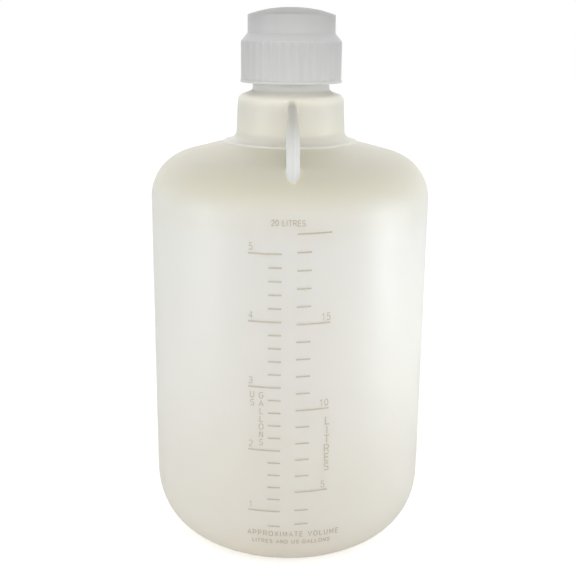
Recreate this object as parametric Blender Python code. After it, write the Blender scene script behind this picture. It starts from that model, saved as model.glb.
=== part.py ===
"""Twenty litre moulded reagent bottle of the carboy kind, with a screw cap.

Metres, +Z up. The origin is the centre of the base, on the surface that the bottle stands on.
The two handles lie in the mould's parting plane, x = 0: one at the front (-Y), one at the back.

Pieces: bottle (body, threaded neck and both handles, one moulding), screw_cap and seal_ring.
"""

import math

import bmesh
import bpy

# ---------------------------------------------------------------- driving dimensions (metres)

# Bottle, from the base up
COLUMNS = 56                    # facets round the bottle
STANDING_RING_INNER = 0.064     # flat ring that the bottle stands on
STANDING_RING_OUTER = 0.072
PUSH_UP = 0.009                 # how far the middle of the base is domed up
BASE_RADIUS = 0.142             # widest, just above the bottom corner
BASE_CORNER = 0.070             # height and reach of the bottom corner
BASE_CORNER_POWER = 2.36        # 2 is a circle; more is squarer
TOP_RADIUS = 0.1408             # barrel radius under the shoulder
SHOULDER_Z = 0.3615             # where the barrel ends
SHOULDER_CORNER = 0.0455        # radius of the shoulder's round
SHOULDER_SLOPE = 15.0           # degrees, the cone above that round
LEDGE_RADIUS = 0.0676           # small step at the foot of the collar
LEDGE_HEIGHT = 0.0020
COLLAR_RADIUS = 0.0545          # at its foot
COLLAR_TOP_RADIUS = 0.0530
COLLAR_TOP_Z = 0.4575           # where the collar's round top edge begins
COLLAR_EDGE = 0.006
NECK_WAIST_RADIUS = 0.0379      # outside of the neck between the collar and the cap
NECK_FOOT_Z = 0.4690
NECK_STEP_Z = 0.4780            # where the neck widens to carry the thread
NECK_RADIUS = 0.0389            # outside of the neck, under the thread
RIM_Z = 0.5120                  # top of the neck
NECK_BORE = 0.0356
WALL = 0.003
BASE_WALL = 0.004

# Screw thread, right-handed, one start
LEAD = 0.008
THREAD_ROOT_WIDTH = 0.0036
THREAD_CREST_WIDTH = 0.0016
THREAD_SINK = 0.0008            # how far the ridge reaches into the wall it stands on
THREAD_STEPS = 36               # sections in one turn
THREAD_FADE = 3                 # sections in which an end runs out
NECK_THREAD_CREST = 0.0412
NECK_THREAD_START_Z = 0.4870
NECK_THREAD_TURNS = 2.25
CAP_THREAD_CREST = 0.0400
CAP_THREAD_DROP = 0.0025        # the cap's ridge lies this far under the neck's, flank to flank
CAP_THREAD_START_Z = NECK_THREAD_START_Z - CAP_THREAD_DROP
CAP_THREAD_TURNS = 2.0

# Screw cap
RIB_COUNT = 36
RIB_CREST = 0.0497
RIB_DEPTH = 0.0010
CAP_BOTTOM_Z = 0.4746
CAP_BEAD_RADIUS = 0.0503        # plain ring round the skirt's lower edge
CAP_BEAD_HEIGHT = 0.0022
SKIRT_TOP_Z = 0.5143
CHAMFER_BOTTOM_RADIUS = 0.0493
CHAMFER_TOP_Z = 0.5215
CROWN_RADIUS = 0.0431           # the smooth upper cylinder
CROWN_TOP_Z = 0.5387
DOME_HEIGHT = 0.0073
DOME_POWER = 2.2
SKIRT_BORE = 0.0424
CROWN_BORE = 0.0375
CAP_ROOF = 0.0034

# Seal ring, held between the neck's rim and the step inside the cap
GAP = 0.0003
SEAL_BOTTOM_Z = RIM_Z + GAP
SEAL_THICKNESS = 0.0024
SEAL_INNER = 0.0359
SEAL_OUTER = 0.0419
CAP_STEP_Z = SEAL_BOTTOM_Z + SEAL_THICKNESS + GAP

# Handles: a strap along a curve in the (radius, height) plane
HANDLE_CURVE = ((0.050, 0.4545), (0.084, 0.4525), (0.110, 0.4335), (0.1235, 0.3880))
HANDLE_DEPTH = 0.0105           # across the strap, in its own plane
HANDLE_TOP_WIDTH = 0.0090       # along x, at the collar
HANDLE_FOOT_WIDTH = 0.0132      # along x, at the shoulder
HANDLE_FLARE = 0.55             # extra size at either root
HANDLE_FLARE_LENGTH = 0.07      # share of the curve over which the flare dies away
HANDLE_SECTIONS = 18
HANDLE_SIDES = 10
HANDLE_SQUARENESS = 3.0         # 2 is an ellipse; more is squarer


# ---------------------------------------------------------------- outlines: (radius, height)

def corner(centre, reach, start, end, steps, power=2.0):
    """Points of a quarter-round, from start to end degrees; power above 2 makes it squarer."""
    points = []
    for step in range(steps + 1):
        angle = math.radians(start + (end - start) * step / steps)
        across = math.copysign(abs(math.cos(angle)) ** (2.0 / power), math.cos(angle))
        up = math.copysign(abs(math.sin(angle)) ** (2.0 / power), math.sin(angle))
        points.append((centre[0] + reach[0] * across, centre[1] + reach[1] * up))
    return points


def push_up(lift, radii):
    """The domed middle of the base, at the given radii."""
    return [(r, lift + PUSH_UP * (1.0 - (r / STANDING_RING_INNER) ** 2)) for r in radii]


def shoulder(inset, end_radius, steps):
    """The round and the cone above the barrel, inset into the wall, up to end_radius."""
    radius = SHOULDER_CORNER - inset
    centre = (TOP_RADIUS - SHOULDER_CORNER, SHOULDER_Z)
    round_part = corner(centre, (radius, radius), 0.0, 90.0 - SHOULDER_SLOPE, steps)
    last_r, last_z = round_part[-1]
    rise = (last_r - end_radius) * math.tan(math.radians(SHOULDER_SLOPE))
    return round_part + [(end_radius, last_z + rise)]


def bottle_outline():
    """Outside of the bottle, from the middle of the base to the middle of the mouth."""
    base_centre = (STANDING_RING_OUTER, BASE_CORNER)
    base_reach = (BASE_RADIUS - STANDING_RING_OUTER, BASE_CORNER)
    outline = push_up(0.0, (0.0, 0.026, 0.048))
    outline.append((STANDING_RING_INNER, 0.0))
    outline += corner(base_centre, base_reach, -90.0, 0.0, 8, BASE_CORNER_POWER)
    outline += shoulder(0.0, LEDGE_RADIUS, 6)
    ledge_z = outline[-1][1] + LEDGE_HEIGHT
    outline += [
        (LEDGE_RADIUS - 0.0008, ledge_z - 0.0010),
        (LEDGE_RADIUS - 0.0030, ledge_z),
    ]
    fillet = 0.0095
    fillet_centre = (COLLAR_RADIUS + fillet, ledge_z + fillet + 0.0006)
    outline += corner(fillet_centre, (fillet, fillet), 260.0, 180.0, 3)
    edge_centre = (COLLAR_TOP_RADIUS - COLLAR_EDGE, COLLAR_TOP_Z)
    outline += corner(edge_centre, (COLLAR_EDGE, COLLAR_EDGE), 0.0, 68.0, 3)
    outline += [
        (NECK_WAIST_RADIUS + 0.0030, NECK_FOOT_Z - 0.0034),
        (NECK_WAIST_RADIUS + 0.0006, NECK_FOOT_Z - 0.0020),
        (NECK_WAIST_RADIUS, NECK_FOOT_Z),
        (NECK_WAIST_RADIUS, NECK_STEP_Z - 0.0010),
        (NECK_RADIUS, NECK_STEP_Z),
        (NECK_RADIUS, RIM_Z - 0.0008),
        (NECK_RADIUS - 0.0008, RIM_Z),
        (0.0, RIM_Z),
    ]
    return outline


def cavity_outline():
    """Inside of the bottle, carried on above the rim so that it opens the mouth."""
    base_centre = (STANDING_RING_OUTER, BASE_CORNER)
    base_reach = (BASE_RADIUS - WALL - STANDING_RING_OUTER, BASE_CORNER - BASE_WALL)
    outline = push_up(BASE_WALL, (0.0, 0.034, STANDING_RING_INNER))
    outline += corner(base_centre, base_reach, -90.0, 0.0, 5, BASE_CORNER_POWER)
    outline += shoulder(WALL, COLLAR_RADIUS + 0.0090, 4)
    foot_z = outline[-1][1]
    outline += [
        (COLLAR_RADIUS + 0.0005, foot_z + 0.0045),
        (COLLAR_RADIUS - WALL, foot_z + 0.0120),
        (COLLAR_TOP_RADIUS - WALL, COLLAR_TOP_Z - 0.0010),
        (COLLAR_TOP_RADIUS - WALL - 0.0035, COLLAR_TOP_Z + 0.0022),
        (NECK_BORE + 0.0022, NECK_FOOT_Z - 0.0060),
        (NECK_BORE, NECK_FOOT_Z - 0.0030),
        (NECK_BORE, RIM_Z + 0.0050),
        (0.0, RIM_Z + 0.0050),
    ]
    return outline


def dome_height(radius):
    """Height of the cap's domed top above the crown's edge."""
    return DOME_HEIGHT * (1.0 - (radius / CROWN_RADIUS) ** DOME_POWER)


# ---------------------------------------------------------------- mesh helpers

def new_object(name, mesh_builder, material=None):
    """An object whose mesh mesh_builder(bm) fills; its faces are turned outwards."""
    mesh = bpy.data.meshes.new(name)
    bm = bmesh.new()
    mesh_builder(bm)
    bmesh.ops.recalc_face_normals(bm, faces=bm.faces[:])
    bm.to_mesh(mesh)
    bm.free()
    mesh.shade_smooth()
    mesh.set_sharp_from_angle(angle=math.radians(35.0))
    if material is not None:
        mesh.materials.append(material)
    obj = bpy.data.objects.new(name, mesh)
    bpy.context.scene.collection.objects.link(obj)
    return obj


def helper(name, mesh_builder):
    """A solid that a Boolean uses and that isn't a piece itself."""
    obj = new_object(name, mesh_builder)
    obj.hide_render = True
    obj.display_type = "WIRE"
    return obj


def add_boolean(obj, operand, operation):
    modifier = obj.modifiers.new(operand.name, "BOOLEAN")
    modifier.operation = operation
    modifier.solver = "EXACT"
    modifier.object = operand


def ring(bm, radii, height):
    """One closed row of vertices round the axis; radii gives each column's radius."""
    count = len(radii)
    row = []
    for column, radius in enumerate(radii):
        angle = 2.0 * math.pi * column / count
        row.append(bm.verts.new((radius * math.cos(angle), radius * math.sin(angle), height)))
    return row


def join_rows(bm, lower, upper):
    """Faces between two rows; one row may be a single point, or hold a multiple of the other."""
    if len(lower) < len(upper):
        lower, upper = upper, lower
    fine = len(lower)
    ratio = fine // len(upper)
    for column in range(fine):
        near = lower[column]
        far = lower[(column + 1) % fine]
        corner_vertex = upper[column // ratio]
        next_vertex = upper[(column // ratio + 1) % len(upper)]
        if len(upper) == 1 or (column + 1) % ratio:
            bm.faces.new((near, far, corner_vertex))
        elif ratio == 1:
            bm.faces.new((near, far, next_vertex, corner_vertex))
        else:
            bm.faces.new((near, far, corner_vertex))
            bm.faces.new((far, next_vertex, corner_vertex))


def turned(outline, columns):
    """A builder for the solid that a (radius, height) outline makes when turned round the axis."""
    def build(bm):
        rows = []
        for radius, height in outline:
            if radius == 0.0:
                rows.append([bm.verts.new((0.0, 0.0, height))])
            else:
                rows.append(ring(bm, [radius] * columns, height))
        for lower, upper in zip(rows, rows[1:]):
            join_rows(bm, lower, upper)
        if len(rows[0]) > 1:
            join_rows(bm, rows[-1], rows[0])
    return build


def swept(sections):
    """A builder for the solid through a list of closed sections, with flat ends."""
    def build(bm):
        rows = [[bm.verts.new(point) for point in section] for section in sections]
        for lower, upper in zip(rows, rows[1:]):
            join_rows(bm, lower, upper)
        bm.faces.new(rows[0])
        bm.faces.new(rows[-1])
    return build


# ---------------------------------------------------------------- shapes that follow a curve

def thread_sections(root, crest, start_z, turns):
    """Sections of a helical ridge that stands on radius root and reaches radius crest."""
    outward = math.copysign(1.0, crest - root)
    count = round(turns * THREAD_STEPS)
    sections = []
    for step in range(count + 1):
        turn = turns * step / count
        angle = 2.0 * math.pi * turn
        height = start_z + LEAD * turn
        share = min(1.0, step / THREAD_FADE, (count - step) / THREAD_FADE)
        top = root - outward * THREAD_SINK * 0.5 + (crest - root + outward * THREAD_SINK * 0.5) * share
        foot = root - outward * THREAD_SINK
        section = []
        for radius, offset in (
            (foot, -THREAD_ROOT_WIDTH / 2.0),
            (top, -THREAD_CREST_WIDTH / 2.0),
            (top, THREAD_CREST_WIDTH / 2.0),
            (foot, THREAD_ROOT_WIDTH / 2.0),
        ):
            section.append((radius * math.cos(angle), radius * math.sin(angle), height + offset))
        sections.append(section)
    return sections


def handle_point(share):
    """Point and unit direction of the handle's curve, in the (radius, height) plane."""
    p0, p1, p2, p3 = HANDLE_CURVE
    rest = 1.0 - share
    weights = (rest ** 3, 3.0 * rest ** 2 * share, 3.0 * rest * share ** 2, share ** 3)
    slopes = (-rest ** 2, rest ** 2 - 2.0 * rest * share, 2.0 * rest * share - share ** 2, share ** 2)
    point = [sum(w * p[i] for w, p in zip(weights, HANDLE_CURVE)) for i in (0, 1)]
    along = [sum(s * p[i] for s, p in zip(slopes, (p0, p1, p2, p3))) for i in (0, 1)]
    length = math.hypot(*along)
    return point, (along[0] / length, along[1] / length)


def handle_sections(side):
    """Sections of one strap; side is -1 for the front handle and +1 for the back one."""
    sections = []
    for step in range(HANDLE_SECTIONS + 1):
        share = step / HANDLE_SECTIONS
        (radius, height), (along_r, along_z) = handle_point(share)
        nearest_root = min(share, 1.0 - share)
        size = 1.0 + HANDLE_FLARE * math.exp(-nearest_root / HANDLE_FLARE_LENGTH)
        half_depth = HANDLE_DEPTH / 2.0 * size
        width = HANDLE_TOP_WIDTH + (HANDLE_FOOT_WIDTH - HANDLE_TOP_WIDTH) * share
        half_width = width / 2.0 * (1.0 + (size - 1.0) * 0.25)
        outline = corner((0.0, 0.0), (half_width, half_depth), 0.0, 360.0, HANDLE_SIDES, HANDLE_SQUARENESS)
        section = []
        for across, out in outline[:-1]:
            section.append((across, side * (radius - along_z * out), height + along_r * out))
        sections.append(section)
    return sections


# ---------------------------------------------------------------- pieces

def plastic(name, colour, roughness):
    material = bpy.data.materials.new(name)
    material.use_nodes = True
    shader = material.node_tree.nodes["Principled BSDF"]
    shader.inputs["Base Color"].default_value = (*colour, 1.0)
    shader.inputs["Roughness"].default_value = roughness
    shader.inputs["Metallic"].default_value = 0.0
    return material


def make_bottle():
    material = plastic("natural_polyethylene", (0.80, 0.79, 0.74), 0.38)
    bottle = new_object("bottle", turned(bottle_outline(), COLUMNS), material)
    thread = thread_sections(NECK_RADIUS, NECK_THREAD_CREST, NECK_THREAD_START_Z, NECK_THREAD_TURNS)
    add_boolean(bottle, helper("neck_thread", swept(thread)), "UNION")
    for name, side in (("front_handle", -1.0), ("back_handle", 1.0)):
        add_boolean(bottle, helper(name, swept(handle_sections(side))), "UNION")
    cavity = helper("cavity", turned(cavity_outline(), COLUMNS))
    add_boolean(bottle, cavity, "DIFFERENCE")
    return bottle


def cap_rows(bm):
    """Rows of the cap from the middle of its roof inside, down, out and up to the dome's top."""
    columns = 2 * RIB_COUNT
    rib_columns = 4 * RIB_COUNT
    roof_z = CROWN_TOP_Z - CAP_ROOF

    def plain(radius, height):
        return ring(bm, [radius] * columns, height)

    def ribbed(height):
        valley = RIB_CREST - RIB_DEPTH
        return ring(bm, [RIB_CREST if column % 4 < 2 else valley for column in range(rib_columns)], height)

    rows = [[bm.verts.new((0.0, 0.0, roof_z + dome_height(0.0)))]]
    for radius in (0.018, 0.029):
        rows.append(plain(radius, roof_z + dome_height(radius)))
    bead_top = CAP_BOTTOM_Z + CAP_BEAD_HEIGHT
    rows += [
        plain(CROWN_BORE - 0.0015, roof_z + dome_height(CROWN_BORE - 0.0015)),
        plain(CROWN_BORE, roof_z - 0.0010),
        plain(CROWN_BORE, CAP_STEP_Z),
        plain(SKIRT_BORE, CAP_STEP_Z),
        plain(SKIRT_BORE, CAP_BOTTOM_Z + 0.0020),
        plain(SKIRT_BORE + 0.0010, CAP_BOTTOM_Z),
        plain(CAP_BEAD_RADIUS - 0.0006, CAP_BOTTOM_Z),
        plain(CAP_BEAD_RADIUS, CAP_BOTTOM_Z + 0.0006),
        plain(CAP_BEAD_RADIUS, bead_top - 0.0006),
        ribbed(bead_top),
        ribbed(SKIRT_TOP_Z - 0.0006),
        plain(CHAMFER_BOTTOM_RADIUS, SKIRT_TOP_Z),
        plain(CROWN_RADIUS + 0.0003, CHAMFER_TOP_Z),
        plain(CROWN_RADIUS, CHAMFER_TOP_Z + 0.0010),
        plain(CROWN_RADIUS, CROWN_TOP_Z - 0.0003),
        plain(CROWN_RADIUS - 0.0004, CROWN_TOP_Z),
    ]
    for radius in (0.036, 0.027, 0.015):
        rows.append(plain(radius, CROWN_TOP_Z + dome_height(radius)))
    rows.append([bm.verts.new((0.0, 0.0, CROWN_TOP_Z + dome_height(0.0)))])
    return rows


def make_screw_cap():
    def build(bm):
        rows = cap_rows(bm)
        for lower, upper in zip(rows, rows[1:]):
            join_rows(bm, lower, upper)

    cap = new_object("screw_cap", build, plastic("cap_polypropylene", (0.72, 0.72, 0.71), 0.42))
    thread = thread_sections(SKIRT_BORE, CAP_THREAD_CREST, CAP_THREAD_START_Z, CAP_THREAD_TURNS)
    add_boolean(cap, helper("cap_thread", swept(thread)), "UNION")
    return cap


def make_seal_ring():
    top = SEAL_BOTTOM_Z + SEAL_THICKNESS
    edge = 0.0004
    outline = [
        (SEAL_INNER, SEAL_BOTTOM_Z + edge),
        (SEAL_INNER + edge, SEAL_BOTTOM_Z),
        (SEAL_OUTER - edge, SEAL_BOTTOM_Z),
        (SEAL_OUTER, SEAL_BOTTOM_Z + edge),
        (SEAL_OUTER, top - edge),
        (SEAL_OUTER - edge, top),
        (SEAL_INNER + edge, top),
        (SEAL_INNER, top - edge),
    ]
    return new_object("seal_ring", turned(outline, 36), plastic("seal_foam", (0.86, 0.86, 0.84), 0.7))


def main():
    for obj in list(bpy.data.objects):
        bpy.data.objects.remove(obj)
    make_bottle()
    make_screw_cap()
    make_seal_ring()


main()
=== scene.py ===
"""Looks of a twenty litre moulded reagent bottle of the carboy kind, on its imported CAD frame.

The bottle is translucent natural polyethylene with printed litre and gallon scales, moulded strap
handles at the front and back, and a ribbed polypropylene screw cap with a seal ring inside.
Everything is in metres, +Z up, with the printed front towards -Y.
"""

import math

import bmesh
import bpy
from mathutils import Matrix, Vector
from mathutils.bvhtree import BVHTree


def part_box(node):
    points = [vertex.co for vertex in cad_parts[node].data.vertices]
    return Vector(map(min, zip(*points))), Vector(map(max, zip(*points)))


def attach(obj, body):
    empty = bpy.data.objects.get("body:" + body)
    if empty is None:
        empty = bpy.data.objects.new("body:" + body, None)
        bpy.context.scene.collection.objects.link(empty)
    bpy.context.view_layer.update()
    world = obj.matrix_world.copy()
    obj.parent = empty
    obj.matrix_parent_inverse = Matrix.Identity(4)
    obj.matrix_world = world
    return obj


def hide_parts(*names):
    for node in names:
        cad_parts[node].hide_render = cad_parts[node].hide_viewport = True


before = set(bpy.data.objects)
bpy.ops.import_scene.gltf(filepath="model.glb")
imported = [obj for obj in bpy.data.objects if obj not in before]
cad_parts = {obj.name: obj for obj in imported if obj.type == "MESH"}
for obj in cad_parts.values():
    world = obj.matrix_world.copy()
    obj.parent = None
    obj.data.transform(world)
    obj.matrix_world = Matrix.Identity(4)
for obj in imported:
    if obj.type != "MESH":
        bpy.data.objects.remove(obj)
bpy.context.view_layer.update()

# ---------------------------------------------------------------- sizes that the frame gives

_, bottle_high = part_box("bottle")
cap_low, cap_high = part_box("screw_cap")
seal_low, seal_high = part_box("seal_ring")

BASE_RADIUS = bottle_high.x
RIM_Z = bottle_high.z
CAP_BOTTOM_Z = cap_low.z
CAP_TOP_Z = cap_high.z
BEAD_RADIUS = cap_high.x
SEAL_OUTER = seal_high.x

# ---------------------------------------------------------------- finer shapes (metres)

COLUMNS = 240                   # facets round the bottle
RING_INNER = 0.064              # flat standing ring
RING_OUTER = 0.072
PUSH_UP = 0.009
CORNER = 0.070                  # height and reach of the bottom corner
CORNER_POWER = 2.36             # 2 is a circle; more is squarer
TOP_RADIUS = BASE_RADIUS - 0.0012
SHOULDER_Z = 0.3615
SHOULDER_ROUND = 0.0455
SHOULDER_SLOPE = 15.0           # degrees
LEDGE_RADIUS = 0.0676
LEDGE_HEIGHT = 0.0020
COLLAR_RADIUS = 0.0545
COLLAR_TOP_RADIUS = 0.0530
COLLAR_TOP_Z = 0.4575
COLLAR_EDGE = 0.006
COLLAR_FILLET = 0.0095
NECK_WAIST_RADIUS = 0.0379
NECK_FOOT_Z = 0.4690
NECK_STEP_Z = 0.4780
NECK_RADIUS = 0.0389
NECK_BORE = 0.0356
WALL = 0.003
BASE_WALL = 0.004

LEAD = 0.008                    # screw thread
THREAD_ROOT_WIDTH = 0.0036
THREAD_CREST_WIDTH = 0.0014
THREAD_SINK = 0.0008
THREAD_STEPS = 96
THREAD_RUN_OUT = 9
NECK_THREAD_CREST = 0.0412
NECK_THREAD_START_Z = 0.4870
NECK_THREAD_TURNS = 2.25
CAP_THREAD_CREST = 0.0400
CAP_THREAD_START_Z = 0.4845
CAP_THREAD_TURNS = 2.0

RIB_COUNT = 36
RIB_COLUMNS = 16
RIB_CREST = 0.0497
RIB_DEPTH = 0.00045
RIB_CREST_SHARE = 0.34          # of the pitch from rib to rib
RIB_FLANK_SHARE = 0.22          # of it, for both flanks together
BEAD_HEIGHT = 0.0022            # plain ring round the skirt's lower edge
SKIRT_TOP_Z = 0.5143
CHAMFER_RADIUS = 0.0493
CHAMFER_TOP_Z = 0.5215
CROWN_RADIUS = 0.0431
CROWN_TOP_Z = 0.5387
DOME_POWER = 2.2
SKIRT_BORE = 0.0424
CROWN_BORE = 0.0375
SEAL_INNER = 0.0359
SEAL_GAP = 0.0003               # between the seal ring and the step inside the cap
CAP_STEP_Z = seal_high.z + SEAL_GAP
CAP_ROOF = 0.0034

HANDLE_CURVE = ((0.050, 0.4545), (0.084, 0.4525), (0.1095, 0.4335), (0.1215, 0.3880))
HANDLE_DEPTH = 0.0105
HANDLE_WIDTHS = ((0.0, 0.0086), (0.3, 0.0094), (0.6, 0.0128), (1.0, 0.0120))
HANDLE_SQUARENESS = 2.5         # 2 is an ellipse; more is squarer
HANDLE_SECTIONS = 90
HANDLE_SIDES = 64
RELIEF_START = 0.40             # share of the curve where the seam and grooves begin to show
RELIEF_LENGTH = 0.25
ROOT_FILLET = 0.0040            # beside the strap; less in front, more underneath
ROOT_FILLET_LEAN = 0.70         # how unequal the fillet is between front and underneath
ROOT_SINK = 0.00015             # how far the fillet's edge dips under the wall
ROOT_CORE = 0.0012              # how far the strap's closed end reaches into the wall
ROOT_SIGHT = 0.002              # how far back on the strap the wall is sighted from
FILLET_STEPS = 12
PINCH_LINE_HALF_LENGTH = 0.052
PINCH_LINE_HALF_WIDTH = 0.0011
PINCH_LINE_HEIGHT = 0.0009
PINCH_LINE_LIFT = 0.0002        # its middle above the base's skin
PINCH_LINE_STEPS = 40

INK_LIFT = 0.00003              # how far the print stands off the wall
INK_THICKNESS = 0.00003
LITRE_HEIGHT = 0.01682          # height that holds one litre in the straight barrel
FIVE_LITRE_Z = 0.0989
LITRES_IN_GALLON = 3.785412
LOW_LINE_DROP = {3: 0.0006, 4: 0.0025}
LITRE_LINE_RISE = 0.042         # the litre lines climb a little to the right, about this arc
LITRE_LINE_PIVOT = 0.020
GALLON_SCALE_DROP = 0.0009      # that scale is printed a touch lower than the litre scale
LOW_GALLON_DROP = {0.8: 0.0034}
LITRE_LINE_START = 0.0075       # arcs, to the right of the print's middle
LITRE_SHORT_END = 0.0206
LITRE_LONG_END = 0.0390
GALLON_LINE_END = -0.0066       # arcs, to the left of it
GALLON_SHORT_START = -0.0186
GALLON_LONG_START = -0.0374
LINE_WIDTH = 0.0013
LETTER_WIDTH = 0.00070
LETTER_GAP = 0.20               # share of the letters' height
PRINT_TURN = -1.37              # degrees the print sits round from the front handle

LITRE_NUMBERS = ((5, 0.0344), (10, 0.0342), (15, 0.0347))       # number, arc
LITRE_NUMBER_HEIGHT = 0.0064
LITRE_NUMBER_RISE = 0.0034      # foot of the number above its line
GALLON_NUMBER_ARC = -0.0351
GALLON_NUMBER_HEIGHT = 0.0062
GALLON_NUMBER_RISE = 0.0032
TOP_WORDS = ("20 LITRES", 0.0050, -0.0008, 0.3580)              # text, letter height, arc, foot
LITRE_STACK = ("LITRES", 0.0076, 0.0095, 0.0378, 0.1750, 0.0009)        # as below, stroke width
GALLON_STACKS = (               # text, letter height, pitch, arc, top
    ("US", 0.0060, 0.0080, -0.0336, 0.2002),
    ("GALLONS", 0.0058, 0.0079, -0.0249, 0.1998),
)
BASE_LINES = (                  # text, letter height, arc, foot, stroke width, gap
    ("APPROXIMATE VOLUME", 0.0054, 0.0068, 0.0502, 0.0009, 0.34),
    ("LITRES AND US GALLONS", 0.0044, 0.0048, 0.0412, 0.0008, 0.30),
)

# ---------------------------------------------------------------- where the strap's colour begins

STRAP_CONE_Z = 0.4352           # the shoulder's cone carried on to the axis, and a millimetre more
STRAP_CONE_ENDS = (0.1045, 0.1095)      # reach from the axis where the cone turns into the round
STRAP_STAND_OFF = (0.0003, 0.0014)      # distance off the shoulder over which the colour changes
STRAP_COLLAR_GAP = (0.001, 0.014)       # the same, off the collar
STRAP_FOOT_Z = (0.382, 0.388)           # nothing lower takes the strap's colour
STRAP_SHADE_REACH = (0.091, 0.118)      # from the grey upper strap to the pale knee

# ---------------------------------------------------------------- light and camera

FLOOR_GLOW = 0.52               # seen by the camera, and lights nothing
FLOOR_REACH = 8.0
TENT = (                        # axis, its direction, light that swells towards it
    ("Y", -1.0, 1.74),
    ("Y", 1.0, 1.56),
)
SOFTBOX_SPREAD = 50.0           # degrees
SOFTBOX_COLOUR = (0.88, 0.95, 1.0)
SOFTBOX_AIM_Z = 0.25
SOFTBOXES = (                   # name, azimuth, distance, height, width, length, watts
    ("left_softbox", -66.0, 1.0, 0.26, 0.40, 0.42, 0.28),
    ("right_softbox", 78.0, 0.75, 0.23, 0.40, 0.34, 0.32),
)
CAMERA_LENS = 57.6              # millimetres
CAMERA_SENSOR = 36.0
CAMERA_DISTANCE = 0.938
CAMERA_HEIGHT = 0.5255
CAMERA_ASIDE = -0.0011
CAMERA_AZIMUTH = -1.2           # degrees
CAMERA_PITCH = 15.71
CAMERA_ROLL = 0.55


# ---------------------------------------------------------------- outlines: (radius, height)

def ease(share):
    """Smooth rise from 0 to 1 as share does; share outside that range is clamped."""
    share = min(1.0, max(0.0, share))
    return share * share * (3.0 - 2.0 * share)


def corner(centre, reach, start, end, steps, power=2.0):
    """Points of a quarter-round, from start to end degrees; power above 2 makes it squarer."""
    points = []
    for step in range(steps + 1):
        angle = math.radians(start + (end - start) * step / steps)
        across = math.copysign(abs(math.cos(angle)) ** (2.0 / power), math.cos(angle))
        up = math.copysign(abs(math.sin(angle)) ** (2.0 / power), math.sin(angle))
        points.append((centre[0] + reach[0] * across, centre[1] + reach[1] * up))
    return points


def straight(start, end, steps):
    """Points between start and end, both left out."""
    shares = [step / steps for step in range(1, steps)]
    return [tuple(a + (b - a) * share for a, b in zip(start, end)) for share in shares]


def rounded(points, radius, steps=4):
    """The same outline with each inner corner replaced by a short smooth bend."""
    outline = [points[0]]
    for before, here, after in zip(points, points[1:], points[2:]):
        middle = Vector(here)
        near = Vector(before) - middle
        far = Vector(after) - middle
        start = middle + near.normalized() * min(radius, near.length * 0.49)
        end = middle + far.normalized() * min(radius, far.length * 0.49)
        for step in range(steps + 1):
            bend = quadratic(start, middle, end, step / steps)
            outline.append((bend.x, bend.y))
    outline.append(points[-1])
    return outline


def quadratic(start, middle, end, share):
    """Point of the smooth bend from start to end that leans towards middle."""
    return start.lerp(middle, share).lerp(middle.lerp(end, share), share)


def push_up(lift, steps):
    """The domed middle of the base, from its centre out to the standing ring."""
    radii = [RING_INNER * step / steps for step in range(steps)]
    return [(r, lift + PUSH_UP * (1.0 - (r / RING_INNER) ** 2)) for r in radii]


def shoulder(inset, end_radius, steps):
    """The round and the cone above the barrel, inset into the wall, up to end_radius."""
    radius = SHOULDER_ROUND - inset
    centre = (TOP_RADIUS - SHOULDER_ROUND, SHOULDER_Z)
    round_part = corner(centre, (radius, radius), 0.0, 90.0 - SHOULDER_SLOPE, steps)
    last = round_part[-1]
    end = (end_radius, last[1] + (last[0] - end_radius) * math.tan(math.radians(SHOULDER_SLOPE)))
    return round_part + straight(last, end, 4) + [end]


def outer_outline():
    """Outside of the bottle, from the middle of the base up to the neck's rim."""
    ring_edge = rounded([(RING_INNER - 0.004, 0.0011), (RING_INNER, 0.0), (RING_OUTER, 0.0)], 0.002)
    base_centre = (RING_OUTER, CORNER)
    outline = push_up(0.0, 14) + ring_edge[1:-1]
    outline += corner(base_centre, (BASE_RADIUS - RING_OUTER, CORNER), -90.0, 0.0, 36, CORNER_POWER)
    outline += straight((BASE_RADIUS, CORNER), (TOP_RADIUS, SHOULDER_Z), 10)
    outline += shoulder(0.0, LEDGE_RADIUS + 0.0020, 28)
    foot_z = outline[-1][1] + 0.0020 * math.tan(math.radians(SHOULDER_SLOPE))
    ledge_z = foot_z + LEDGE_HEIGHT
    ledge = [
        (LEDGE_RADIUS + 0.0019, foot_z - 0.0004),
        (LEDGE_RADIUS, foot_z + 0.0002),
        (LEDGE_RADIUS - 0.0005, ledge_z - 0.0001),
        (LEDGE_RADIUS - 0.0040, ledge_z + 0.0003),
    ]
    outline += rounded(ledge, 0.0010, 6)[1:-1]
    fillet_centre = (COLLAR_RADIUS + COLLAR_FILLET, ledge_z + COLLAR_FILLET + 0.0006)
    outline += corner(fillet_centre, (COLLAR_FILLET, COLLAR_FILLET), 266.0, 180.0, 14)
    outline += straight(outline[-1], (COLLAR_TOP_RADIUS, COLLAR_TOP_Z), 8)
    edge_centre = (COLLAR_TOP_RADIUS - COLLAR_EDGE, COLLAR_TOP_Z)
    outline += corner(edge_centre, (COLLAR_EDGE, COLLAR_EDGE), 0.0, 68.0, 12)
    neck_foot = [
        outline[-1],
        (NECK_WAIST_RADIUS + 0.0006, NECK_FOOT_Z - 0.0022),
        (NECK_WAIST_RADIUS, NECK_FOOT_Z + 0.0060),
        (NECK_WAIST_RADIUS, NECK_STEP_Z - 0.0010),
        (NECK_RADIUS, NECK_STEP_Z),
        (NECK_RADIUS, NECK_STEP_Z + 0.0040),
    ]
    outline += rounded(neck_foot, 0.0030, 8)[1:]
    outline += straight(outline[-1], (NECK_RADIUS, RIM_Z - 0.0008), 8)
    rim = [
        (NECK_RADIUS, RIM_Z - 0.0030),
        (NECK_RADIUS, RIM_Z),
        (NECK_BORE, RIM_Z),
        (NECK_BORE, RIM_Z - 0.0030),
    ]
    outline += rounded(rim, 0.0008)[1:]
    return outline


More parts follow.
